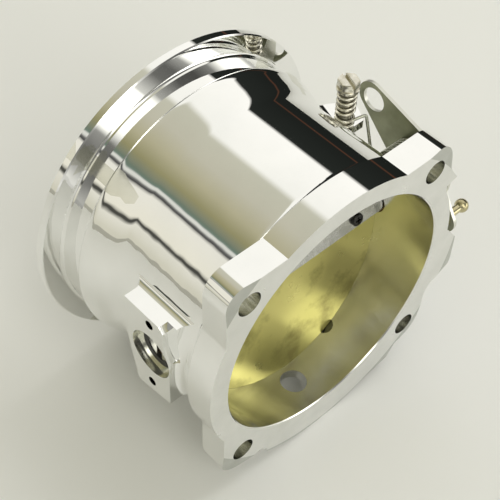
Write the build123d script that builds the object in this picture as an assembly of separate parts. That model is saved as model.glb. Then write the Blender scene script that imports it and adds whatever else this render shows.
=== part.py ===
from build123d import *
from math import cos, radians, sin, tan
import os

# Throttle body for a 90 mm bore, in millimetres. The origin is the centre of the bore on the
# mounting-flange face. +Y runs along the bore to the air inlet, +Z is up, +X is the linkage side.

# Bore and barrel
BORE_R = 45.0
INLET_R = 47.5
BARREL_R = 48.65
NECK_R = 50.5
NECK_Y = (63.8, 72.3)
LIP_R = 57.8
LIP_BACK_Y = 74.2
LENGTH = 77.4
MOUTH_CHAMFER = 0.35

# Mounting flange
FLANGE_T = 10.2
BOLT_HALF = 38.1
BOLT_HOLE_R = 4.2
EAR_HALF = 46.4
EAR_BOTTOM = 47.5
EAR_CORNER_R = 7.4
DISC_R = 52.3
LOBE_R = 58.3
RELIEF_R = 57.6
RELIEF_ANGLE = 10.0

# Shaft and butterfly plate
SHAFT_Y = 26.8
SHAFT_R = 4.76
PLATE_TILT = 10.0
PLATE_T = 2.0
PLATE_GAP = 0.05
PLATE_SCREW_XS = (-33.5, 0.0, 33.5)
PLATE_SCREW_R = 1.5
SCREW_FLAT = 3.0
DRIVE_R = 4.0
DRIVE_FLAT = 3.2
THREAD_R = 3.0
SHAFT_SENSOR_END = -49.3
SHAFT_NUT_END = 79.0
RUNNING_GAP = 0.03
SHAFT_HOLE_R = 5.3

# Sensor boss on the -X side
SENSOR_FACE_X = -52.6
SENSOR_BORE_R = 8.6
SENSOR_BORE_DEPTH = 3.0
SENSOR_SCREW_R = 1.65
SENSOR_SCREW_Z = 14.5
BUSH_R = 7.0

# Linkage side, stacked along the shaft from the boss face outwards
LINK_FACE_X = 52.6
LINK_BOSS_R = 12.0
THRUST_X = (52.65, 53.60)
STOP_X = (53.65, 55.65)
SPACER_X = (55.65, 68.60)
LEVER_X = (68.60, 69.90)
FLAT_WASHER_X = (69.90, 70.90)
LOCK_WASHER_X = (70.90, 72.30)
NUT_X = (72.30, 77.30)
NUT_FLATS = 10.0

# Throttle lever, as (y, z) centres in the side view
LEVER_HUB_R = 13.0
LEVER_TIP = (51.95, 14.75)
LEVER_TIP_R = 6.1
CABLE_HOLE = (51.0, 14.2)
CABLE_HOLE_R = 4.7
BALL_ARM = (12.7, -16.1)
BALL_ARM_R = 5.0
BALL_X = 78.5
BALL_R = 2.6
BALL_SHANK_R = 1.6
BALL_RIVET_R = 2.6
BALL_RIVET_T = 0.9
BALL_COLLAR_R = 2.9
BALL_COLLAR_T = 1.6
BALL_FLAT_X = 81.04

# Idle screw and its spring
SCREW_X = 54.5
SCREW_Y = 51.5
SCREW_R = 2.4
SCREW_TOP_Z = 31.3
SCREW_TIP_Z = 5.45
SCREW_SEAT_Z = 16.5
SCREW_FLANGE_Z = 27.2
SCREW_BOSS_R = 4.5
SCREW_BOSS_BOTTOM = 6.5
LEDGE_Y = 44.6
LEDGE_T = 3.3
LEDGE_FILLET = 4.0
BOSS_FILLET = 3.0
SCREW_SLOT_TURN = 70.6
IDLE_WIRE_R = 0.55
IDLE_COIL_R = 3.05
IDLE_TURNS = 4.5
STOP_GAP = 0.05

# Return spring round the shaft, wound from its fixed leg towards the throttle lever
WIRE_R = 0.55
COIL_R = 11.1
COIL_X = (56.8, 67.6)
COIL_TURNS = 6.25
COIL_START = -15.0
LEG_LENGTH = 23.5
HOOK = (-4.2, 1.9, -1.2)
BEND_R = 1.4
TAIL_OFFSET = 1.6
TAIL_LENGTH = 4.4

# Holes through the bore wall
VACUUM_ANGLE = -95.4
VACUUM_Y = 11.2
VACUUM_R = 4.65
PLUG_ANGLE = -65.5
PLUG_Y = 19.3
PLUG_R = 3.0
PLUG_SLOT_TURN = 60.0


def slab_y(outline, y0, y1):
    """Extrude an (x, z) outline from y0 to y1."""
    return extrude(Plane.XZ.offset(-y0) * outline, amount=y0 - y1)


def slab_x(outline, x0, x1):
    """Extrude a (y, z) outline from x0 to x1."""
    return extrude(Plane.YZ.offset(x0) * outline, amount=x1 - x0)


def slab_z(outline, z0, z1):
    """Extrude an (x, y) outline from z0 to z1."""
    return extrude(Plane.XY.offset(z0) * outline, amount=z1 - z0)


def rod_x(radius, x0, x1, y=SHAFT_Y, z=0.0):
    return slab_x(Pos(y, z) * Circle(radius), x0, x1)


def ring_x(outer, inner, x0, x1, y=SHAFT_Y, z=0.0):
    return slab_x(Pos(y, z) * (Circle(outer) - Circle(inner)), x0, x1)


def shape(*points):
    """A filled polygon through the points."""
    return make_face(Polyline(*points, close=True))


def hull(*discs):
    """The convex outline round several (y, z, radius) discs."""
    return make_hull([edge for y, z, r in discs for edge in (Pos(y, z) * Circle(r)).edges()])


def turned(outline):
    """Turn a (radius, y) outline about the bore axis."""
    return revolve(outline, Axis.Y, 360)


def radial(angle, y, radius, inner, outer):
    """A cylinder that points away from the bore axis at an angle in the XZ plane."""
    out = Vector(cos(radians(angle)), 0, sin(radians(angle)))
    start = Plane(origin=out * inner + Vector(0, y, 0), z_dir=out)
    return extrude(start * Circle(radius), amount=outer - inner)


def barrel():
    root = 1.0
    wall = Polyline((0, FLANGE_T - root), (DISC_R, FLANGE_T - root), (DISC_R, FLANGE_T))
    cove = RadiusArc((DISC_R, FLANGE_T), (BARREL_R, FLANGE_T + 3.65), 3.65)
    flare = Polyline((BARREL_R, FLANGE_T + 3.65), (BARREL_R, 49.5), (49.5, 52.7), (50.35, 55.0),
                     (51.0, 57.3), (51.7, 60.0))
    bead_front = ThreePointArc((51.7, 60.0), (52.12, 61.3), (52.1, 62.6))
    bead_back = ThreePointArc((52.1, 62.6), (51.6, 63.5), (NECK_R, NECK_Y[0]))
    neck = Line((NECK_R, NECK_Y[0]), (NECK_R, NECK_Y[1]))
    web = ThreePointArc((NECK_R, NECK_Y[1]), (50.93, 73.25), (52.0, 73.6))
    lip = Polyline((52.0, 73.6), (LIP_R - 0.4, LIP_BACK_Y - 0.1), (LIP_R, LIP_BACK_Y + 0.3),
                   (LIP_R, LENGTH - 0.4), (LIP_R - 0.4, LENGTH), (0, LENGTH), (0, FLANGE_T - root))
    return turned(make_face([wall, cove, flare, bead_front, bead_back, neck, web, lip]))


def bore():
    return turned(shape((0, -1), (BORE_R, -1), (BORE_R, 50), (INLET_R, 60), (INLET_R, LENGTH - 0.8),
                        (INLET_R + 0.8, LENGTH), (INLET_R + 0.8, LENGTH + 1), (0, LENGTH + 1)))


def bore_mouth():
    """The chamfer at the outlet. It is cut apart from the bore, because one cut of both drops it."""
    return turned(shape((0, -1), (BORE_R + MOUTH_CHAMFER + 1, -1), (BORE_R - 1, MOUTH_CHAMFER + 1),
                        (0, MOUTH_CHAMFER + 1)))


def flange_outline():
    square = Pos(0, (EAR_HALF - EAR_BOTTOM) / 2) * RectangleRounded(
        2 * EAR_HALF, EAR_HALF + EAR_BOTTOM, EAR_CORNER_R)
    lower = Circle(LOBE_R) & shape((-30, -40), (-28.7, -47.5), (-28.6, -49.0), (-26.9, -49.4),
                                   (-26.4, -60), (24, -60), (24, -40))
    lower_corner = shape((15, -50), (15, -54.2), (33.2, -54.4), (34.3, -51), (35.1, -46), (30, -45))
    right_lobe = Circle(63.4) & shape((50, 3), (52.8, 0.8), (58.2, -6.6), (59.4, -19.8), (58.9, -22),
                                      (53.2, -22.4), (48.8, -24), (47.2, -26.4), (46, -31), (40, -31))
    upper_lobe = shape((44, 36), (46.4, 34.3), (50.6, 27.8), (46.8, 26.4), (42, 27))
    return square + Circle(DISC_R) + lower + lower_corner + right_lobe + upper_lobe


def flange():
    outline = flange_outline()
    relief = turned(shape((RELIEF_R, 0), (80, (80 - RELIEF_R) * tan(radians(RELIEF_ANGLE))), (80, -1),
                          (RELIEF_R, -1)))
    body = slab_y(outline, 0, FLANGE_T)
    return body - relief


def sensor_boss():
    outline = shape((18.2, 17.8), (38.1, 17.8), (38.1, 0.7), (33.6, -20.0), (18.2, -17.4))
    return slab_x(outline, SENSOR_FACE_X, -40)


def sensor_boss_bevel():
    """The corner that is cut off the boss between its flat top and the flange side."""
    outline = shape((14, 20), (22.3, 20), (22.3, 17.8), (20.6, 15.9), (20.3, 9), (18.2, 2.5), (14, 2.5))
    return slab_x(outline, SENSOR_FACE_X - 1, SENSOR_FACE_X + 3.4)


def linkage_boss():
    return rod_x(LINK_BOSS_R, 40, LINK_FACE_X)


def screw_ledge():
    """The flat seat under the idle screw's spring, which also stops the return spring's leg."""
    outline = make_face([Polyline((38, LEDGE_Y), (56.4, LEDGE_Y), (58.9, 49.1)),
                         ThreePointArc((58.9, 49.1), (59.5, SCREW_Y), (56.6, 56.0)),
                         Polyline((56.6, 56.0), (52.6, 58.6), (38, 63.0), (38, LEDGE_Y))])
    return slab_z(outline, SCREW_SEAT_Z - LEDGE_T, SCREW_SEAT_Z)


def screw_column():
    outline = Pos(SCREW_X, SCREW_Y) * Circle(SCREW_BOSS_R)
    outline += Pos(SCREW_X - 7.5, SCREW_Y) * Rectangle(15, 2 * SCREW_BOSS_R)
    return slab_z(outline, SCREW_BOSS_BOTTOM, SCREW_SEAT_Z - 1)


def on_barrel(edge):
    """True for an edge that follows the barrel's outside, where a boss meets it."""
    points = [edge @ (step / 4) for step in range(5)]
    return all(BARREL_R - 0.1 < (p.X ** 2 + p.Z ** 2) ** 0.5 < BARREL_R + 4 for p in points)


def seam(body, side, y_range, z=None):
    """The seam of a boss on the +X or -X side, or only its part at one height."""
    edges = [edge for edge in body.edges() if on_barrel(edge)]
    edges = [edge for edge in edges if edge.center().X * side > 30]
    edges = [edge for edge in edges if y_range[0] < edge.center().Y < y_range[1]]
    if z is None:
        return edges
    return [edge for edge in edges
            if all(abs((edge @ (step / 4)).Z - z) < 0.02 for step in range(5))]


def body_with_bosses():
    body = barrel() + sensor_boss()
    sides = [edge for edge in seam(body, -1, (16, 40)) if edge.center().Z > -17]
    body = body.fillet(BOSS_FILLET, sides) - sensor_boss_bevel()
    body = body + linkage_boss()
    body = body.fillet(BOSS_FILLET, seam(body, 1, (14.5, 40)))
    body = body + screw_ledge() + screw_column()
    body = body.fillet(LEDGE_FILLET, seam(body, 1, (41, 66), SCREW_SEAT_Z))
    for z in (SCREW_SEAT_Z - LEDGE_T, SCREW_BOSS_BOTTOM):
        body = body.fillet(2.0, seam(body, 1, (41, 66), z))
    return body


def housing():
    body = body_with_bosses() + flange() - bore() - bore_mouth()
    for x in (-BOLT_HALF, BOLT_HALF):
        for z in (-BOLT_HALF, BOLT_HALF):
            body -= slab_y(Pos(x, z) * Circle(BOLT_HOLE_R), -1, FLANGE_T + 6)
    body -= rod_x(SENSOR_BORE_R, SENSOR_FACE_X - 1, SENSOR_FACE_X + SENSOR_BORE_DEPTH)
    body -= rod_x(BUSH_R, SENSOR_FACE_X - 1, -46)
    body -= rod_x(SHAFT_HOLE_R, -47, -40)
    for z in (-SENSOR_SCREW_Z, SENSOR_SCREW_Z):
        body -= rod_x(SENSOR_SCREW_R, SENSOR_FACE_X - 1, SENSOR_FACE_X + 6, SHAFT_Y, z)
    body -= rod_x(BUSH_R, 46, LINK_FACE_X + 1)
    body -= rod_x(SHAFT_HOLE_R, 40, 47)
    body -= slab_z(Pos(SCREW_X, SCREW_Y) * Circle(SCREW_R + 0.05), 0, 20)
    body -= radial(VACUUM_ANGLE, VACUUM_Y, VACUUM_R, 40, 64)
    body -= radial(PLUG_ANGLE, PLUG_Y, PLUG_R, 40, 52)
    return body


def in_plate_frame(solid):
    """Place a solid drawn round the shaft, with its slot in the local XZ plane."""
    return Pos(0, SHAFT_Y, 0) * Rot(-PLATE_TILT, 0, 0) * solid


def plate_screw_holes(radius):
    holes = [Pos(x, 0, 0) * Rot(90, 0, 0) * Cylinder(radius, 20) for x in PLATE_SCREW_XS]
    return in_plate_frame(Compound(children=holes))


def drive_outline(gap=0.0):
    """The double-D section that turns the levers, as a (y, z) outline."""
    return Pos(SHAFT_Y, 0) * (Circle(DRIVE_R + gap) & Rectangle(4 * DRIVE_R, 2 * (DRIVE_FLAT + gap)))


def throttle_shaft():
    round_part = rod_x(SHAFT_R, SHAFT_SENSOR_END, STOP_X[0])
    drive = slab_x(drive_outline(), STOP_X[0], LEVER_X[1] - 0.1)
    thread = rod_x(THREAD_R, LEVER_X[1] - 0.1, SHAFT_NUT_END)
    thread = chamfer(thread.edges().sort_by(Axis.X)[-1], 0.5)
    slot = in_plate_frame(Box(90.5, PLATE_T + 0.02, 12))
    flat = in_plate_frame(Pos(0, -SCREW_FLAT - 2.5, 0) * Box(87, 5, 12))
    key = Pos(SHAFT_SENSOR_END + 0.75, SHAFT_Y, 0) * Box(1.5, 2.4, 12)
    return round_part + drive + thread - slot - flat - key - plate_screw_holes(PLATE_SCREW_R + 0.02)


def throttle_plate():
    sheet = in_plate_frame(Box(96, PLATE_T, 96))
    bore_fill = slab_y(Circle(BORE_R - PLATE_GAP), 0, 60)
    return (sheet & bore_fill) - plate_screw_holes(PLATE_SCREW_R + 0.02)


def plate_screws():
    screws = []
    for x in PLATE_SCREW_XS:
        shank = Pos(0, 0.95, 0) * Rot(90, 0, 0) * Cylinder(PLATE_SCREW_R, 2 * SCREW_FLAT + 1.9)
        head = Pos(0, -SCREW_FLAT - 0.65, 0) * Rot(90, 0, 0) * Cylinder(2.4, 1.3)
        head = fillet(head.edges().sort_by(Axis.Y)[0], 0.5)
        cross = Box(2.8, 1.4, 0.6) + Box(0.6, 1.4, 2.8)
        screws.append(Pos(x, 0, 0) * (shank + head - Pos(0, -SCREW_FLAT - 1.3, 0) * cross))
    return in_plate_frame(Compound(children=screws))


def sensor_side_bush():
    return ring_x(BUSH_R, SHAFT_R + RUNNING_GAP, -48.0, -46.0)


def sensor_side_seal():
    return ring_x(BUSH_R, SHAFT_R + RUNNING_GAP, -49.5, -48.05)


def linkage_side_bush():
    return ring_x(BUSH_R, SHAFT_R + RUNNING_GAP, 46.0, 49.6)


def linkage_side_seal():
    return ring_x(BUSH_R, SHAFT_R + RUNNING_GAP, 49.65, 52.3)


def port_plug():
    plug = radial(PLUG_ANGLE, PLUG_Y, PLUG_R, BORE_R + 0.35, BARREL_R - 0.15)
    out = Vector(cos(radians(PLUG_ANGLE)), 0, sin(radians(PLUG_ANGLE)))
    face = Plane(origin=out * (BORE_R + 0.35) + Vector(0, PLUG_Y, 0), x_dir=(0, 1, 0), z_dir=out)
    return plug - face * Rot(0, 0, PLUG_SLOT_TURN) * Box(2 * PLUG_R + 1, 0.9, 2.4)


def thrust_washer():
    return ring_x(9.0, SHAFT_R + 0.02, *THRUST_X)


def stop_lever():
    arm = hull((SHAFT_Y, 0, 9.0), (SCREW_Y + 0.2, 1.9, 3.5))
    pad_z = SCREW_TIP_Z - STOP_GAP
    step = shape((SCREW_Y - 4, pad_z), (SCREW_Y + 8, pad_z), (SCREW_Y + 8, 12), (SCREW_Y - 2.5, 12))
    return slab_x(arm - step - drive_outline(0.02), *STOP_X)


def lever_spacer():
    return ring_x(6.0, DRIVE_R + 0.03, *SPACER_X)


def spring_bush():
    return ring_x(10.2, 6.03, SPACER_X[0] + 0.15, SPACER_X[1] - 0.1)


def coil_frame():
    along = (0, cos(radians(COIL_START)), sin(radians(COIL_START)))
    return Plane(origin=(COIL_X[0], SHAFT_Y, 0), x_dir=along, z_dir=(1, 0, 0))


def wire(path, radius):
    return sweep(Plane(origin=path @ 0, z_dir=path % 0) * Circle(radius), path=path)


def coil_path():
    height = COIL_X[1] - COIL_X[0]
    return coil_frame() * Helix(height / COIL_TURNS, height, COIL_R, lefthand=True)


def tail_points():
    """The wire's last points: along the coil's tangent, then out through the throttle lever."""
    path = coil_path()
    end = path @ 1
    corner = end + (path % 1).normalized() * TAIL_OFFSET
    return end, corner, corner + Vector(TAIL_LENGTH, 0, 0)


def return_spring():
    path = coil_path()
    start = path @ 0
    corner = start - (path % 0).normalized() * LEG_LENGTH
    leg = FilletPolyline(start, corner, corner + Vector(HOOK), radius=BEND_R)
    tail = FilletPolyline(*tail_points(), radius=BEND_R)
    return Compound(children=[wire(path, WIRE_R), wire(leg, WIRE_R), wire(tail, WIRE_R)])


def throttle_lever():
    upper = hull((SHAFT_Y, 0, LEVER_HUB_R), (*LEVER_TIP, LEVER_TIP_R))
    lower = hull((SHAFT_Y, 0, 8.0), (*BALL_ARM, BALL_ARM_R))
    tail = tail_points()[1]
    outline = upper + lower + Pos(SHAFT_Y, 0) * Circle(LEVER_HUB_R)
    outline -= drive_outline(0.02)
    outline -= Pos(*CABLE_HOLE) * Circle(CABLE_HOLE_R)
    outline -= Pos(*BALL_ARM) * Circle(BALL_SHANK_R)
    outline -= Pos(tail.Y, tail.Z) * Circle(WIRE_R + 0.15)
    return slab_x(outline, *LEVER_X)


def ball_stud():
    y, z = BALL_ARM
    rivet = rod_x(BALL_RIVET_R, LEVER_X[0] - BALL_RIVET_T, LEVER_X[0], y, z)
    shank = rod_x(BALL_SHANK_R, LEVER_X[0], LEVER_X[1], y, z)
    collar = rod_x(BALL_COLLAR_R, LEVER_X[1], LEVER_X[1] + BALL_COLLAR_T, y, z)
    neck = rod_x(BALL_SHANK_R, LEVER_X[1] + BALL_COLLAR_T, BALL_X, y, z)
    ball = Pos(BALL_X, y, z) * Rot(0, 90, 0) * Sphere(BALL_R)
    ball -= rod_x(BALL_R, BALL_FLAT_X, BALL_X + BALL_R + 1, y, z)
    return rivet + shank + collar + neck + ball


def flat_washer():
    return ring_x(6.2, THREAD_R + 0.2, *FLAT_WASHER_X)


def lock_washer():
    split = Pos(sum(LOCK_WASHER_X) / 2, SHAFT_Y, 5) * Rot(0, 0, 20) * Box(4, 0.9, 6)
    return ring_x(5.2, THREAD_R + 0.15, *LOCK_WASHER_X) - split


def shaft_nut():
    outline = Pos(SHAFT_Y, 0) * Rot(0, 0, 14) * RegularPolygon(NUT_FLATS / 2, 6, major_radius=False)
    nut = slab_x(outline, *NUT_X)
    cone = Pos(sum(NUT_X) / 2, SHAFT_Y, 0) * Rot(0, 90, 0) * Cylinder(5.6, NUT_X[1] - NUT_X[0])
    cone = chamfer(cone.edges(), 0.5)
    return (nut & cone) - rod_x(THREAD_R + 0.02, NUT_X[0] - 1, NUT_X[1] + 1)


def idle_screw():
    axis = Pos(SCREW_X, SCREW_Y)
    shank = slab_z(axis * Circle(SCREW_R), SCREW_TIP_Z, SCREW_FLANGE_Z)
    shank = chamfer(shank.edges().sort_by(Axis.Z)[0], 0.5)
    washer = slab_z(axis * Circle(4.05), SCREW_FLANGE_Z, SCREW_FLANGE_Z + 1.1)
    head = slab_z(axis * Rot(0, 0, 10) * RegularPolygon(3.5, 6, major_radius=False),
                  SCREW_FLANGE_Z + 1.1, SCREW_TOP_Z)
    crown = slab_z(axis * Circle(3.9), SCREW_FLANGE_Z + 0.5, SCREW_TOP_Z)
    crown = chamfer(crown.edges().sort_by(Axis.Z)[-1], 0.6)
    slot = Pos(SCREW_X, SCREW_Y, SCREW_TOP_Z) * Rot(0, 0, SCREW_SLOT_TURN) * Box(10, 1.2, 2.8)
    return shank + washer + (head & crown) - slot


def idle_screw_spring():
    height = SCREW_FLANGE_Z - SCREW_SEAT_Z - 2 * IDLE_WIRE_R
    frame = Plane(origin=(SCREW_X, SCREW_Y, SCREW_SEAT_Z + IDLE_WIRE_R))
    return wire(frame * Helix(height / IDLE_TURNS, height, IDLE_COIL_R), IDLE_WIRE_R)


SUB_PARTS = {
    "housing": housing,
    "throttle_shaft": throttle_shaft,
    "throttle_plate": throttle_plate,
    "plate_screws": plate_screws,
    "sensor_side_bush": sensor_side_bush,
    "sensor_side_seal": sensor_side_seal,
    "linkage_side_bush": linkage_side_bush,
    "linkage_side_seal": linkage_side_seal,
    "port_plug": port_plug,
    "thrust_washer": thrust_washer,
    "stop_lever": stop_lever,
    "lever_spacer": lever_spacer,
    "spring_bush": spring_bush,
    "return_spring": return_spring,
    "throttle_lever": throttle_lever,
    "ball_stud": ball_stud,
    "flat_washer": flat_washer,
    "lock_washer": lock_washer,
    "shaft_nut": shaft_nut,
    "idle_screw": idle_screw,
    "idle_screw_spring": idle_screw_spring,
}

if __name__ == "__main__":
    os.makedirs("parts", exist_ok=True)
    for name, make in SUB_PARTS.items():
        export_step(make(), f"parts/{name}.step")
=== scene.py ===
import math

import bmesh
import bpy
import numpy as np
from mathutils import Matrix, Vector

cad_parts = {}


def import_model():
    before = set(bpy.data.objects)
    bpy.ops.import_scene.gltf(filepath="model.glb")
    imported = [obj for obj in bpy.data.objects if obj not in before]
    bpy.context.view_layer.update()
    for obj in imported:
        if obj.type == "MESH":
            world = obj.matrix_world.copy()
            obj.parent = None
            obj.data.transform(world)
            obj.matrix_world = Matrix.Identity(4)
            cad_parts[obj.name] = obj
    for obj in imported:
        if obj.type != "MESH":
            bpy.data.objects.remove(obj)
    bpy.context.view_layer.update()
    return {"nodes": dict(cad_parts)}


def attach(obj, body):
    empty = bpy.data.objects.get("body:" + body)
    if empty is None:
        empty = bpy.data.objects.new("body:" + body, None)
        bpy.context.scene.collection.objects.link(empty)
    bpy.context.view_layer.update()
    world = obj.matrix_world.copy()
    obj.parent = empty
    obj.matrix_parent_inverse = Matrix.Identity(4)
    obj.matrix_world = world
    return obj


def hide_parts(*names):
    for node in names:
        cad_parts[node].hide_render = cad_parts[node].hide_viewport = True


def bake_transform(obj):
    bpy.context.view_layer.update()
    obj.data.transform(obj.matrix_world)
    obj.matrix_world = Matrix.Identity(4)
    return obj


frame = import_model()
NODES = frame["nodes"]
SHAFT_Y = 0.0268
FLOOR_Z = -0.0583

# Idle screw, in metres
SCREW_X, SCREW_Y = 0.0545, 0.0515
SCREW_BOTTOM, SCREW_FLANGE, SCREW_HEAD, SCREW_TOP = 0.00545, 0.0272, 0.0283, 0.0313
THREAD_R, THREAD_DEPTH, THREAD_PITCH, LEAD_IN = 0.0024, 0.00032, 0.0008, 0.0005
FLANGE_R, FLANGE_EDGE = 0.00405, 0.0001
HEX_HALF, CROWN_R, HEX_TURN = 0.0035, 0.0039, 10.0
SLOT_HALF, SLOT_DEPTH, SLOT_TURN, HEAD_BEVEL = 0.0006, 0.0014, 70.6, 0.00022

# Return spring, in metres
COIL_R, COIL_X, COIL_TURNS, COIL_START = 0.0111, (0.0568, 0.0676), 6.25, -15.0
LEG, HOOK = 0.0235, (-0.0042, 0.0019, -0.0012)
TAIL_LEAD, TAIL, WIRE_R = 0.0016, 0.0044, 0.00055


# ---------------------------------------------------------------- shading normals

def triangles(mesh):
    co = np.empty(len(mesh.vertices) * 3)
    mesh.vertices.foreach_get("co", co)
    index = np.empty(len(mesh.loops), np.int32)
    mesh.loops.foreach_get("vertex_index", index)
    return co.reshape(-1, 3), index.reshape(-1, 3)


def region_ids(tri, normal, flat_cos):
    """Joins neighbouring faces that lie in one plane."""
    parent = list(range(len(tri)))

    def root(i):
        while parent[i] != i:
            parent[i] = parent[parent[i]]
            i = parent[i]
        return i

    seen = {}
    for f, (a, b, c) in enumerate(tri.tolist()):
        for edge in ((a, b), (b, c), (c, a)):
            key = edge if edge[0] < edge[1] else (edge[1], edge[0])
            other = seen.setdefault(key, f)
            if other != f and normal[f] @ normal[other] > flat_cos:
                parent[root(f)] = root(other)
    return np.array([root(i) for i in range(len(tri))])


def true_normals(obj, radii=(), smooth=21.0):
    """Sets corner normals that follow the real surfaces. No vertex moves."""
    mesh = obj.data
    co, loose = triangles(mesh)
    _, weld = np.unique(np.round(co * 1e6).astype(np.int64), axis=0, return_inverse=True)
    tri = weld.reshape(-1)[loose]
    p = co[loose]
    cross = np.cross(p[:, 1] - p[:, 0], p[:, 2] - p[:, 0])
    size = np.linalg.norm(cross, axis=1)
    normal = cross / np.maximum(size, 1e-18)[:, None]
    region = region_ids(tri, normal, math.cos(math.radians(0.15)))
    area = np.bincount(region, weights=size, minlength=len(tri))[region]
    radial = np.zeros_like(co)
    reach = np.hypot(co[:, 0], co[:, 2])
    radial[:, 0] = co[:, 0] / np.maximum(reach, 1e-9)
    radial[:, 2] = co[:, 2] / np.maximum(reach, 1e-9)
    turned = np.zeros(len(tri), bool)
    for r in radii:
        on = (np.abs(reach[loose] - r) < 4e-6).all(axis=1)
        turned |= on & (np.abs((radial[loose[:, 0]] * normal).sum(1)) > 0.985)
    # Small facets of a form turned about the bore's axis: their true normals have no sideways part.
    sideways = np.stack([radial[:, 2], np.zeros(len(co)), -radial[:, 0]], axis=1)
    across = np.abs((sideways[loose] * normal[:, None, :]).sum(2))
    lathe = np.zeros(len(tri), bool)
    if radii:
        lathe = (across.mean(axis=1) < 0.12) & (across.max(axis=1) < 0.22) & (area < 90e-6)
        lathe &= (reach[loose] > 0.0444).all(axis=1) & (np.abs(normal[:, 1]) < 0.995)
    around = {}
    for f, corners in enumerate(tri.tolist()):
        for v in corners:
            around.setdefault(v, []).append(f)
    limit = math.cos(math.radians(smooth))
    result = np.zeros((len(tri), 3, 3))
    for v, faces in around.items():
        faces = np.array(faces)
        n = normal[faces]
        close = n @ n.T > limit
        for i, f in enumerate(faces):
            near = faces[close[i]]
            corner = int(np.where(tri[f] == v)[0][0])
            exact = near[turned[near]]
            if len(exact):
                out = radial[loose[f, corner]]
                value = out if out @ normal[exact[0]] > 0 else -out
            else:
                _, first = np.unique(region[near], return_index=True)
                one = near[first]
                value = (normal[one] * (area[one] ** 2)[:, None]).sum(0)
                if lathe[near].all():
                    flat_way = sideways[loose[f, corner]]
                    value = value - (value @ flat_way) * flat_way
                length = np.linalg.norm(value)
                value = value / length if length > 0 else normal[f]
            result[f, corner] = value
    mesh.polygons.foreach_set("use_smooth", [True] * len(mesh.polygons))
    mesh.normals_split_custom_set(result.reshape(-1, 3).tolist())


TURNED = (0.045, 0.0475, 0.04865, 0.0505, 0.0578)
for name, node in NODES.items():
    if name not in ("return_spring", "idle_screw_spring"):
        true_normals(node, TURNED if name == "housing" else ())


# ---------------------------------------------------------------- materials

class Look:
    """A node material whose uniform values sit on the shader's own sockets."""

    def __init__(self, name, **values):
        self.mat = bpy.data.materials.new(name)
        self.mat.use_nodes = True
        self.nodes = self.mat.node_tree.nodes
        self.links = self.mat.node_tree.links
        self.shader = self.nodes["Principled BSDF"]
        for key, value in values.items():
            self.set(key.replace("_", " "), value)
        self.place = self.add("ShaderNodeTexCoord").outputs["Object"]

    def set(self, key, value):
        if isinstance(value, bpy.types.NodeSocket):
            self.links.new(value, self.shader.inputs[key])
        else:
            self.shader.inputs[key].default_value = value

    def add(self, kind, inputs=None, **props):
        n = self.nodes.new(kind)
        for key, value in props.items():
            setattr(n, key, value)
        for key, value in (inputs or {}).items():
            if isinstance(value, bpy.types.NodeSocket):
                self.links.new(value, n.inputs[key])
            else:
                n.inputs[key].default_value = value
        return n

    def math(self, operation, a, b=0.0):
        return self.add("ShaderNodeMath", {0: a, 1: b}, operation=operation).outputs[0]

    def split(self, vector=None):
        n = self.add("ShaderNodeSeparateXYZ", {0: vector or self.place})
        return n.outputs[0], n.outputs[1], n.outputs[2]

    def noise(self, scale, detail=3.0, stretch=(1, 1, 1), rough=0.5, turn=(0, 0, 0)):
        warped = self.add("ShaderNodeMapping", {"Vector": self.place, "Scale": stretch, "Rotation": turn})
        n = self.add("ShaderNodeTexNoise", {"Vector": warped.outputs[0], "Scale": scale,
                                            "Detail": detail, "Roughness": rough})
        return n.outputs[0]

    def ramp(self, value, *stops):
        n = self.add("ShaderNodeValToRGB", {0: value})
        elements = n.color_ramp.elements
        while len(elements) < len(stops):
            elements.new(0.5)
        for element, (at, colour) in zip(elements, stops):
            element.position = at
            element.color = colour if isinstance(colour, tuple) else (colour,) * 3 + (1,)
        return n.outputs[0]

    def span(self, value, low, high, to_low=0.0, to_high=1.0):
        n = self.add("ShaderNodeMapRange", {"Value": value, "From Min": low, "From Max": high,
                                            "To Min": to_low, "To Max": to_high})
        return n.outputs[0]

    def mix(self, factor, a, b):
        n = self.add("ShaderNodeMix", {0: factor, 6: a, 7: b}, data_type="RGBA")
        return n.outputs[2]

    def bump(self, height, distance, strength=1.0, under=None):
        inputs = {"Height": height, "Distance": distance, "Strength": strength}
        if under is not None:
            inputs["Normal"] = under
        return self.add("ShaderNodeBump", inputs).outputs[0]


def rgb(r, g, b):
    return (r, g, b, 1.0)


def polished_aluminium():
    look = Look("polished_aluminium_look", Metallic=1.0)
    x = look.split()[0]
    cloud = look.noise(90.0, 4.0)
    look.set("Roughness", look.span(cloud, 0.35, 0.75, 0.020, 0.055))
    tint = look.mix(look.span(cloud, 0.3, 0.8), rgb(0.93, 0.93, 0.92), rgb(0.88, 0.885, 0.875))
    look.set("Base Color", tint)
    slow = look.noise(30.0, 0.0, stretch=(1.0, 0.35, 1.0))
    quick = look.noise(150.0, 1.0)
    near_boss = look.span(x, -0.022, -0.040)
    base = look.bump(slow, 0.0010, 0.025)
    look.set("Normal", look.bump(look.math("MULTIPLY", quick, near_boss), 0.0003, 0.22, base))
    return look.mat


def turned_aluminium():
    """The bore: fine turning marks round it, so highlights spread along it."""
    look = Look("bore_look", Metallic=1.0, Anisotropic=0.85, Anisotropic_Rotation=0.25)
    cloud = look.noise(60.0, 4.0)
    rings = look.noise(60.0, 3.0, stretch=(0.02, 18.0, 0.02))
    look.set("Roughness", look.span(cloud, 0.3, 0.7, 0.13, 0.20))
    look.set("Base Color", look.mix(look.span(cloud, 0.3, 0.7), rgb(0.86, 0.86, 0.83), rgb(0.76, 0.76, 0.72)))
    look.set("Tangent", look.add("ShaderNodeTangent", direction_type="RADIAL", axis="Y").outputs[0])
    look.set("Normal", look.bump(rings, 0.00003, 0.35))
    return look.mat


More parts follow.
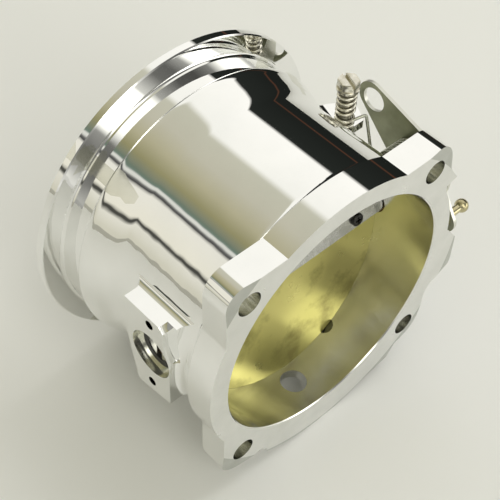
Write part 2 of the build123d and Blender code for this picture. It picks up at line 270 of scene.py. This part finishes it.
def machined_aluminium(name, light, dark, rough):
    look = Look(name, Metallic=1.0)
    cloud = look.noise(80.0, 5.0, rough=0.6)
    grain = look.noise(420.0, 3.0)
    look.set("Roughness", look.span(cloud, 0.3, 0.7, rough * 0.85, rough * 1.2))
    look.set("Base Color", look.mix(look.span(cloud, 0.3, 0.7), light, dark))
    look.set("Normal", look.bump(grain, 0.00003, 0.25))
    return look.mat


def plate_brass():
    look = Look("plate_brass_look", Metallic=0.88)
    stain = look.noise(70.0, 5.0, rough=0.62)
    blot = look.noise(28.0, 2.0)
    clean = look.mix(look.span(blot, 0.35, 0.65), rgb(0.60, 0.55, 0.19), rgb(0.50, 0.465, 0.145))
    look.set("Base Color", look.mix(look.ramp(stain, (0.50, 0.0), (0.68, 1.0)), clean, rgb(0.30, 0.27, 0.08)))
    look.set("Roughness", look.span(stain, 0.3, 0.7, 0.26, 0.42))
    rolled = look.noise(700.0, 2.0, stretch=(0.06, 1, 1))
    look.set("Normal", look.bump(rolled, 0.00004, 0.5))
    return look.mat


def plain_steel(name, light, dark, rough, grain=500.0, metal=1.0, bump=0.00003):
    look = Look(name, Metallic=metal)
    spots = look.noise(260.0, 4.0)
    look.set("Base Color", look.mix(look.span(spots, 0.35, 0.7), light, dark))
    look.set("Roughness", look.span(spots, 0.3, 0.7, rough * 0.8, rough * 1.25))
    look.set("Normal", look.bump(look.noise(grain, 3.0), bump, 0.6))
    return look.mat


def lever_steel():
    look = Look("lever_steel_look", Metallic=0.9)
    spots = look.noise(120.0, 4.0)
    # Painted light: faces whose normal runs across the lever (its edges) get a pale colour as a painted
    # highlight. The broad faces get the dark olive, which is partly the steel's own coating and partly
    # painted shade.
    side = look.math("ABSOLUTE", look.split(look.add("ShaderNodeNewGeometry").outputs["Normal"])[0])
    flat = look.ramp(side, (0.55, 0.0), (0.85, 1.0))
    face = look.mix(look.span(spots, 0.35, 0.7), rgb(0.38, 0.39, 0.27), rgb(0.28, 0.295, 0.20))
    look.set("Base Color", look.mix(flat, rgb(0.72, 0.72, 0.66), face))
    look.set("Roughness", look.span(spots, 0.3, 0.7, 0.30, 0.44))
    look.set("Normal", look.bump(look.noise(600.0, 2.0, stretch=(1, 0.1, 1)), 0.00003, 0.6))
    return look.mat


def soft_part(name, colour, dark, rough):
    look = Look(name, Metallic=0.0)
    spots = look.noise(300.0, 3.0)
    look.set("Base Color", look.mix(spots, colour, dark))
    look.set("Roughness", look.span(spots, 0.3, 0.7, rough * 0.85, rough * 1.15))
    look.set("Normal", look.bump(look.noise(900.0, 2.0), 0.00003, 0.5))
    return look.mat


ALUMINIUM = polished_aluminium()
BORE = turned_aluminium()
FACE = machined_aluminium("machined_face_look", rgb(0.84, 0.84, 0.82), rgb(0.76, 0.765, 0.74), 0.30)
RELIEF = machined_aluminium("relief_look", rgb(0.58, 0.59, 0.56), rgb(0.50, 0.51, 0.48), 0.36)
DRILLED = machined_aluminium("drilled_look", rgb(0.80, 0.80, 0.74), rgb(0.70, 0.70, 0.63), 0.16)
BRASS = plate_brass()
ZINC = plain_steel("zinc_steel_look", rgb(0.78, 0.76, 0.68), rgb(0.60, 0.57, 0.46), 0.24)
PASSIVATED = plain_steel("passivated_steel_look", rgb(0.62, 0.56, 0.36), rgb(0.42, 0.37, 0.21), 0.24)
SHAFT = plain_steel("shaft_steel_look", rgb(0.62, 0.62, 0.60), rgb(0.50, 0.50, 0.47), 0.26)
LEVER = lever_steel()
SCREW = plain_steel("dark_screw_steel_look", rgb(0.05, 0.05, 0.048), rgb(0.025, 0.025, 0.024), 0.34)
# The thread's darker colour is painted shade, for the shank seen in the dark gaps between the spring's turns.
SHADED_THREAD = plain_steel("thread_painted_shade_look", rgb(0.34, 0.32, 0.25), rgb(0.20, 0.19, 0.15), 0.30)
SPRING = plain_steel("spring_steel_look", rgb(0.50, 0.51, 0.44), rgb(0.38, 0.39, 0.33), 0.27)
BRONZE = plain_steel("bush_bronze_look", rgb(0.45, 0.30, 0.14), rgb(0.33, 0.21, 0.09), 0.38)
RUBBER = soft_part("seal_rubber_look", rgb(0.02, 0.02, 0.02), rgb(0.035, 0.034, 0.032), 0.55)
NYLON = soft_part("nylon_look", rgb(0.75, 0.73, 0.66), rgb(0.66, 0.63, 0.55), 0.42)
PLUG = plain_steel("plug_steel_look", rgb(0.20, 0.20, 0.17), rgb(0.12, 0.12, 0.10), 0.30)

LOOKS = {
    "housing": ALUMINIUM, "throttle_shaft": SHAFT, "throttle_plate": BRASS, "plate_screws": SCREW,
    "sensor_side_bush": BRONZE, "sensor_side_seal": RUBBER, "linkage_side_bush": BRONZE,
    "linkage_side_seal": RUBBER, "port_plug": PLUG, "thrust_washer": NYLON, "stop_lever": LEVER,
    "lever_spacer": ZINC, "spring_bush": NYLON, "return_spring": SPRING, "throttle_lever": LEVER,
    "ball_stud": PASSIVATED, "flat_washer": ZINC, "lock_washer": SPRING, "shaft_nut": ZINC,
    "idle_screw": ZINC, "idle_screw_spring": ZINC,
}
for name, mat in LOOKS.items():
    NODES[name].data.materials.clear()
    NODES[name].data.materials.append(mat)


def housing_zones():
    """Gives the machined, turned and drilled faces of the casting their own finishes."""
    mesh = NODES["housing"].data
    co, tri = triangles(mesh)
    p = co[tri]
    middle = p.mean(axis=1)
    cross = np.cross(p[:, 1] - p[:, 0], p[:, 2] - p[:, 0])
    normal = cross / np.maximum(np.linalg.norm(cross, axis=1), 1e-18)[:, None]
    r = np.hypot(middle[:, 0], middle[:, 2])
    zone = np.zeros(len(tri), np.int32)
    zone[r < 0.0484] = 1
    forward = normal[:, 1] < -0.9
    zone[forward & (p[:, :, 1].max(axis=1) < 1e-5)] = 2
    zone[forward & (r > 0.0572) & (middle[:, 1] > 1e-6) & (middle[:, 1] < 0.003)] = 3
    for bolt_x in (-0.0381, 0.0381):
        for bolt_z in (-0.0381, 0.0381):
            zone[np.hypot(middle[:, 0] - bolt_x, middle[:, 2] - bolt_z) < 0.00425] = 4
    zone[(middle[:, 0] < -0.0491) & (np.hypot(middle[:, 1] - SHAFT_Y, middle[:, 2]) < 0.00865)] = 4
    for mat in (BORE, FACE, RELIEF, DRILLED):
        mesh.materials.append(mat)
    mesh.polygons.foreach_set("material_index", zone)


housing_zones()


# ---------------------------------------------------------------- mesh pieces

def piece(name, verts, faces, mat, smooth=True):
    mesh = bpy.data.meshes.new(name)
    mesh.from_pydata([tuple(v) for v in verts], [], faces)
    mesh.materials.append(mat)
    mesh.polygons.foreach_set("use_smooth", [smooth] * len(mesh.polygons))
    obj = bpy.data.objects.new(name, mesh)
    bpy.context.scene.collection.objects.link(obj)
    return obj


def rounded(points, radius, steps=6):
    """Replaces each inner corner of a polyline with a smooth bend."""
    out = [points[0]]
    for a, b, c in zip(points, points[1:], points[2:]):
        back = (a - b).normalized() * min(radius, (a - b).length * 0.5)
        ahead = (c - b).normalized() * min(radius, (c - b).length * 0.5)
        for i in range(steps + 1):
            t = i / steps
            out.append((b + back) * (1 - t) ** 2 + b * (2 * t * (1 - t)) + (b + ahead) * t ** 2)
    return out + [points[-1]]


def wire(name, path, radius, mat, sides=20):
    """A round wire along a path, closed with flat caps at its ends."""
    verts, faces = [], []
    tangent = (path[1] - path[0]).normalized()
    side = tangent.orthogonal().normalized()
    for i, p in enumerate(path):
        ahead = path[min(i + 1, len(path) - 1)] - path[max(i - 1, 0)]
        turn = tangent.rotation_difference(ahead.normalized())
        side = (turn @ side).normalized()
        tangent = ahead.normalized()
        up = tangent.cross(side)
        for k in range(sides):
            a = 2 * math.pi * k / sides
            verts.append(p + (side * math.cos(a) + up * math.sin(a)) * radius)
    rows = len(path)
    for i in range(rows - 1):
        for k in range(sides):
            n = (k + 1) % sides
            faces.append((i * sides + k, i * sides + n, (i + 1) * sides + n, (i + 1) * sides + k))
    faces.append(tuple(range(sides))[::-1])
    faces.append(tuple((rows - 1) * sides + k for k in range(sides)))
    obj = piece(name, verts, faces, mat)
    obj.data.set_sharp_from_angle(angle=math.radians(50))
    return obj


def coil_point(t):
    a = math.radians(COIL_START - 360 * COIL_TURNS * t)
    x = COIL_X[0] + (COIL_X[1] - COIL_X[0]) * t
    return Vector((x, SHAFT_Y + COIL_R * math.cos(a), COIL_R * math.sin(a)))


def coil_direction(t):
    a = math.radians(COIL_START - 360 * COIL_TURNS * t)
    sweep = -2 * math.pi * COIL_TURNS * COIL_R
    return Vector((COIL_X[1] - COIL_X[0], -math.sin(a) * sweep, math.cos(a) * sweep)).normalized()


def return_spring():
    steps = 460
    coil = [coil_point(i / steps) for i in range(steps + 1)]
    corner = coil[0] - coil_direction(0) * LEG
    hook = corner + Vector(HOOK)
    bend = coil[-1] + coil_direction(1) * TAIL_LEAD
    lead = rounded([hook, corner, coil[0]], 0.0011)
    tail = rounded([coil[-1], bend, bend + Vector((TAIL, 0, 0))], 0.0010)
    obj = wire("return_spring_wire", lead[:-1] + coil + tail[1:], WIRE_R, SPRING)
    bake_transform(obj)
    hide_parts("return_spring")


def idle_spring():
    turns, r, z0, z1 = 4.5, 0.00305, 0.01706, 0.02664
    path = []
    for i in range(301):
        t = i / 300
        a = 2 * math.pi * turns * t
        flat = t * t * (3 - 2 * t) * 0.35 + t * 0.65
        path.append(Vector((SCREW_X + r * math.cos(a), SCREW_Y + r * math.sin(a), z0 + (z1 - z0) * flat)))
    obj = wire("idle_screw_spring_wire", path, WIRE_R, ZINC, sides=16)
    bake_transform(obj)
    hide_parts("idle_screw_spring")


def clipped(outline, direction, reach):
    """The part of a flat outline that lies past a line."""
    out = []
    for a, b in zip(outline, outline[1:] + outline[:1]):
        da = a[0] * direction.x + a[1] * direction.y - reach
        db = b[0] * direction.x + b[1] * direction.y - reach
        if da >= 0:
            out.append(a)
        if (da >= 0) != (db >= 0):
            t = da / (da - db)
            out.append((a[0] + (b[0] - a[0]) * t, a[1] + (b[1] - a[1]) * t))
    return out


def screw_shank(bm):
    """Threaded shank and washer face, as rings of points joined up."""
    sides, rows = 48, 330
    rings = []
    for i in range(rows + 1):
        z = SCREW_BOTTOM + (SCREW_FLANGE - SCREW_BOTTOM) * i / rows
        point = LEAD_IN * (1 - min(1.0, (z - SCREW_BOTTOM) / LEAD_IN))
        crest = [abs(2 * ((z / THREAD_PITCH - k / sides) % 1.0) - 1) for k in range(sides)]
        rings.append([(THREAD_R - THREAD_DEPTH * c - point, z) for c in crest])
    for r, z in ((THREAD_R, SCREW_FLANGE), (FLANGE_R - FLANGE_EDGE, SCREW_FLANGE),
                 (FLANGE_R, SCREW_FLANGE + FLANGE_EDGE), (FLANGE_R, SCREW_HEAD - FLANGE_EDGE),
                 (FLANGE_R - FLANGE_EDGE, SCREW_HEAD), (0.0030, SCREW_HEAD)):
        rings.append([(r, z)] * sides)
    points = []
    for ring in rings:
        for k, (r, z) in enumerate(ring):
            a = 2 * math.pi * k / sides
            points.append(bm.verts.new((SCREW_X + r * math.cos(a), SCREW_Y + r * math.sin(a), z)))
    for i in range(len(rings) - 1):
        for k in range(sides):
            n = (k + 1) % sides
            quad = (i * sides + k, i * sides + n, (i + 1) * sides + n, (i + 1) * sides + k)
            made = bm.faces.new([points[v] for v in quad])
            # The threaded rows take the darker thread material, which is painted shade; the washer face and
            # head keep the plain zinc.
            made.material_index = 1 if i < rows else 0
            made.smooth = True
    for cap in (points[:sides][::-1], points[-sides:]):
        bm.faces.new(cap).smooth = True


def screw_head(bm):
    """Hexagon with its corners turned down, and a straight slot across the top."""
    cut = 30 - math.degrees(math.acos(HEX_HALF / CROWN_R))
    turns = [math.radians(HEX_TURN + 60 * k + side) for k in range(6) for side in (-cut, cut)]
    hexagon = [(CROWN_R * math.cos(a), CROWN_R * math.sin(a)) for a in turns]
    across = Vector((-math.sin(math.radians(SLOT_TURN)), math.cos(math.radians(SLOT_TURN))))
    slot_floor = SCREW_TOP - SLOT_DEPTH
    for outline, low, high in ((hexagon, SCREW_HEAD - 0.00005, slot_floor),
                               (clipped(hexagon, across, SLOT_HALF), slot_floor, SCREW_TOP),
                               (clipped(hexagon, -across, SLOT_HALF), slot_floor, SCREW_TOP)):
        foot = [bm.verts.new((SCREW_X + x, SCREW_Y + y, low)) for x, y in outline]
        rim = [bm.verts.new((SCREW_X + x, SCREW_Y + y, high)) for x, y in outline]
        bm.faces.new(foot[::-1])
        lid = bm.faces.new(rim)
        for k in range(len(outline)):
            n = (k + 1) % len(outline)
            bm.faces.new((foot[k], foot[n], rim[n], rim[k]))
        if high == SCREW_TOP:
            bmesh.ops.bevel(bm, geom=list(lid.edges), offset=HEAD_BEVEL, segments=2, affect="EDGES")


def idle_screw():
    """The adjusting screw: threaded shank, washer face, hexagon head with a straight slot."""
    bm = bmesh.new()
    screw_shank(bm)
    screw_head(bm)
    mesh = bpy.data.meshes.new("idle_screw_body")
    bm.to_mesh(mesh)
    bm.free()
    mesh.materials.append(ZINC)
    mesh.materials.append(SHADED_THREAD)
    obj = bpy.data.objects.new("idle_screw_body", mesh)
    bpy.context.scene.collection.objects.link(obj)
    mesh.set_sharp_from_angle(angle=math.radians(40))
    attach(obj, "idle_adjuster")
    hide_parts("idle_screw")


return_spring()
idle_spring()
idle_screw()


# ---------------------------------------------------------------- stage, light and camera

def floor():
    s = 1.6
    obj = piece("floor", [(-s, -s, FLOOR_Z), (s, -s, FLOOR_Z), (s, s, FLOOR_Z), (-s, s, FLOOR_Z)],
                [(0, 1, 2, 3)], None)
    look = Look("floor_look", Base_Color=rgb(0.80, 0.805, 0.785), Roughness=0.42)
    look.set("Normal", look.bump(look.noise(60.0, 3.0), 0.0002, 0.05))
    obj.data.materials.clear()
    obj.data.materials.append(look.mat)


def world():
    """A soft studio: what lies round the object, by angle about the bore's axis."""
    w = bpy.data.worlds.new("studio")
    bpy.context.scene.world = w
    w.use_nodes = True
    nodes, links = w.node_tree.nodes, w.node_tree.links
    nodes.clear()
    out = nodes.new("ShaderNodeOutputWorld")
    coord = nodes.new("ShaderNodeTexCoord")
    xyz = nodes.new("ShaderNodeSeparateXYZ")
    links.new(coord.outputs["Generated"], xyz.inputs[0])
    angle = nodes.new("ShaderNodeMath")
    angle.operation = "ARCTAN2"
    links.new(xyz.outputs[2], angle.inputs[0])
    links.new(xyz.outputs[0], angle.inputs[1])
    share = nodes.new("ShaderNodeMapRange")
    share.inputs["From Min"].default_value = -math.pi
    share.inputs["From Max"].default_value = math.pi
    links.new(angle.outputs[0], share.inputs["Value"])
    behind = (
        (-60, (0.40, 0.39, 0.32)), (-20, (0.30, 0.30, 0.24)), (-17, (0.012, 0.014, 0.012)),
        (9, (0.014, 0.016, 0.014)), (10, (0.11, 0.045, 0.025)), (11, (0.014, 0.016, 0.014)),
        (37, (0.02, 0.023, 0.02)), (39, (1.08, 1.06, 1.00)), (74, (1.0, 0.99, 0.92)),
        (79, (0.58, 0.57, 0.46)), (97, (0.55, 0.53, 0.42)), (112, (0.47, 0.44, 0.29)),
        (124, (0.31, 0.29, 0.15)), (130, (0.22, 0.24, 0.17)), (133.5, (0.13, 0.19, 0.15)),
        (135, (0.75, 0.75, 0.69)), (137, (0.70, 0.70, 0.64)), (138, (0.05, 0.05, 0.05)),
        (140, (0.06, 0.06, 0.06)), (141, (0.85, 0.83, 0.74)), (161, (0.86, 0.83, 0.70)),
        (163, (0.07, 0.07, 0.06)), (165, (0.07, 0.07, 0.06)), (167, (0.80, 0.78, 0.68)),
        (178, (0.66, 0.64, 0.52)),
    )
    ahead = (
        (-60, 0.42), (-20, 0.40), (0, 0.60), (8, 1.9), (20, 1.9), (36, 0.25), (50, 0.08), (64, 0.10),
        (83, 0.45), (91, 1.8), (116, 1.8), (131, 0.20), (148, 0.10), (165, 0.22), (178, 0.50),
    )

    def ring(stops):
        n = nodes.new("ShaderNodeValToRGB")
        links.new(share.outputs[0], n.inputs[0])
        elements = n.color_ramp.elements
        while len(elements) < len(stops):
            elements.new(0.5)
        for element, (degrees, colour) in zip(elements, stops):
            element.position = (degrees + 180) / 360
            warm = colour if isinstance(colour, tuple) else (colour, colour * 0.99, colour * 0.92)
            element.color = (*warm, 1)
        return n.outputs[0]

    facing = nodes.new("ShaderNodeMapRange")
    facing.inputs["From Min"].default_value = -0.30
    facing.inputs["From Max"].default_value = -0.42
    links.new(xyz.outputs[1], facing.inputs["Value"])
    both = nodes.new("ShaderNodeMix")
    both.data_type = "RGBA"
    links.new(facing.outputs[0], both.inputs[0])
    links.new(ring(behind), both.inputs[6])
    links.new(ring(ahead), both.inputs[7])
    lit = nodes.new("ShaderNodeBackground")
    links.new(both.outputs[2], lit.inputs[0])
    front = nodes.new("ShaderNodeMapRange")
    front.inputs["From Min"].default_value = -0.45
    front.inputs["From Max"].default_value = -0.75
    front.inputs["To Min"].default_value = 1.0
    front.inputs["To Max"].default_value = 1.8
    links.new(xyz.outputs[1], front.inputs["Value"])
    links.new(front.outputs[0], lit.inputs[1])
    plain = nodes.new("ShaderNodeBackground")
    plain.inputs[0].default_value = rgb(0.80, 0.80, 0.74)
    path = nodes.new("ShaderNodeLightPath")
    mix = nodes.new("ShaderNodeMixShader")
    links.new(path.outputs["Is Camera Ray"], mix.inputs[0])
    links.new(lit.outputs[0], mix.inputs[1])
    links.new(plain.outputs[0], mix.inputs[2])
    links.new(mix.outputs[0], out.inputs[0])


def aimed(obj, position, target=(0, 0.035, 0)):
    obj.location = position
    obj.rotation_euler = (Vector(target) - Vector(position)).to_track_quat("-Z", "Y").to_euler()


def lamp(name, position, width, height, radiance, colour):
    data = bpy.data.lights.new(name, "AREA")
    data.shape = "RECTANGLE"
    data.size, data.size_y = width, height
    data.energy = radiance * math.pi * width * height
    data.color = colour
    obj = bpy.data.objects.new(name, data)
    bpy.context.scene.collection.objects.link(obj)
    aimed(obj, position)
    return obj


def camera():
    data = bpy.data.cameras.new("camera")
    data.sensor_width = 36.0
    data.lens = 85.06
    data.clip_start = 0.01
    obj = bpy.data.objects.new("camera", data)
    bpy.context.scene.collection.objects.link(obj)
    right = Vector((0.73555, -0.67686, 0.02868))
    up = Vector((0.50220, 0.57318, 0.64750))
    back = right.cross(up)
    up = back.cross(right)
    turn = Matrix((right, up, back)).transposed().to_4x4()
    obj.matrix_world = Matrix.Translation((-0.177027, -0.140277, 0.292975)) @ turn
    bpy.context.scene.camera = obj


floor()
world()
key = lamp("key", (0.58, -0.06, 0.80), 0.5, 0.5, 3.3, (1.0, 1.0, 1.0))
key.visible_glossy = False
camera()
bpy.context.scene.view_settings.view_transform = "Standard"
